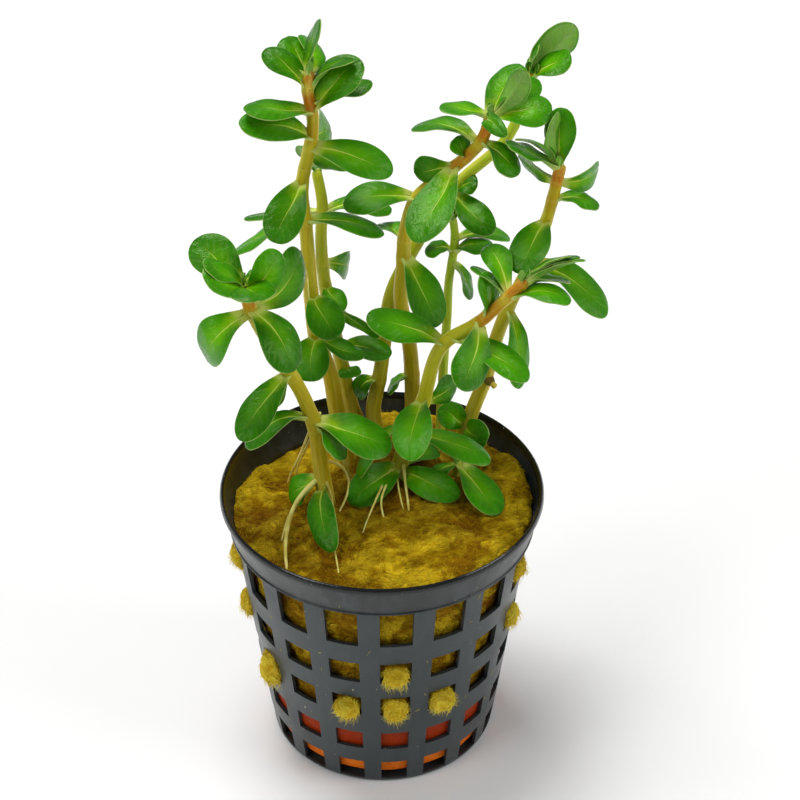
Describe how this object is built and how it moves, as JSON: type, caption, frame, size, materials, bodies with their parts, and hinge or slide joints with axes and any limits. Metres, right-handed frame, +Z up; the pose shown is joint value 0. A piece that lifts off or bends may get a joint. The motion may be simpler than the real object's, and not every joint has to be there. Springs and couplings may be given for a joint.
{
  "type": "potted indian toothcup",
  "caption": "Aquarium stem plant with upright leafy stems, rooted in stone wool over a clay weight in a small tapered net pot that stands on its flat base.",
  "frame": {"origin": "centre of the net pot's flat base, on the surface that it stands on", "axes": "+Z up along the pot's axis, -Y towards the front of the plant, +X to the viewer's right"},
  "size_m": [0.062, 0.0546, 0.1185],
  "materials": {
    "pot": "semi-matte slate-grey moulded plastic",
    "wool": "wet fibrous ochre stone wool",
    "clay": "unglazed orange clay, damp",
    "stem": "fleshy olive-ochre stem, orange-red near the tips",
    "leaf": "glossy green leaf skin with a pale yellow-green foot"
  },
  "bodies": {
    "root": {"back_left_leaf_1": "leaf", "back_left_leaf_2": "leaf", "back_left_leaf_3": "leaf", "back_left_leaf_4": "leaf", "back_left_stem": "stem", "back_right_leaf_1": "leaf", "back_right_stem": "stem", "clay_weight": "clay", "front_left_leaf_1": "leaf", "front_left_leaf_2": "leaf", "front_left_leaf_3": "leaf", "front_left_leaf_4": "leaf", "front_left_leaf_5": "leaf", "front_left_leaf_6": "leaf", "front_left_leaf_7": "leaf", "front_left_leaf_8": "leaf", "front_left_leaf_9": "leaf", "front_left_stem": "stem", "front_right_leaf_1": "leaf", "front_right_leaf_2": "leaf", "front_right_leaf_3": "leaf", "front_right_leaf_4": "leaf", "front_right_leaf_5": "leaf", "front_right_leaf_6": "leaf", "front_right_leaf_7": "leaf", "front_right_leaf_8": "leaf", "front_right_leaf_9": "leaf", "front_right_stem": "stem", "low_shoot_leaf_1": "leaf", "low_shoot_stem": "stem", "middle_leaf_1": "leaf", "middle_leaf_2": "leaf", "middle_leaf_3": "leaf", "middle_leaf_4": "leaf", "middle_leaf_5": "leaf", "middle_leaf_6": "leaf", "middle_stem": "stem", "net_pot": "pot", "right_leaf_1": "leaf", "right_leaf_2": "leaf", "right_leaf_3": "leaf", "right_leaf_4": "leaf", "right_stem": "stem", "stone_wool": "wool", "tall_left_leaf_1": "leaf", "tall_left_leaf_2": "leaf", "tall_left_leaf_3": "leaf", "tall_left_leaf_4": "leaf", "tall_left_leaf_5": "leaf", "tall_left_leaf_6": "leaf", "tall_left_leaf_7": "leaf", "tall_left_leaf_8": "leaf", "tall_left_stem": "stem", "thin_pale_stem": "stem"}
  },
  "joints": []
}
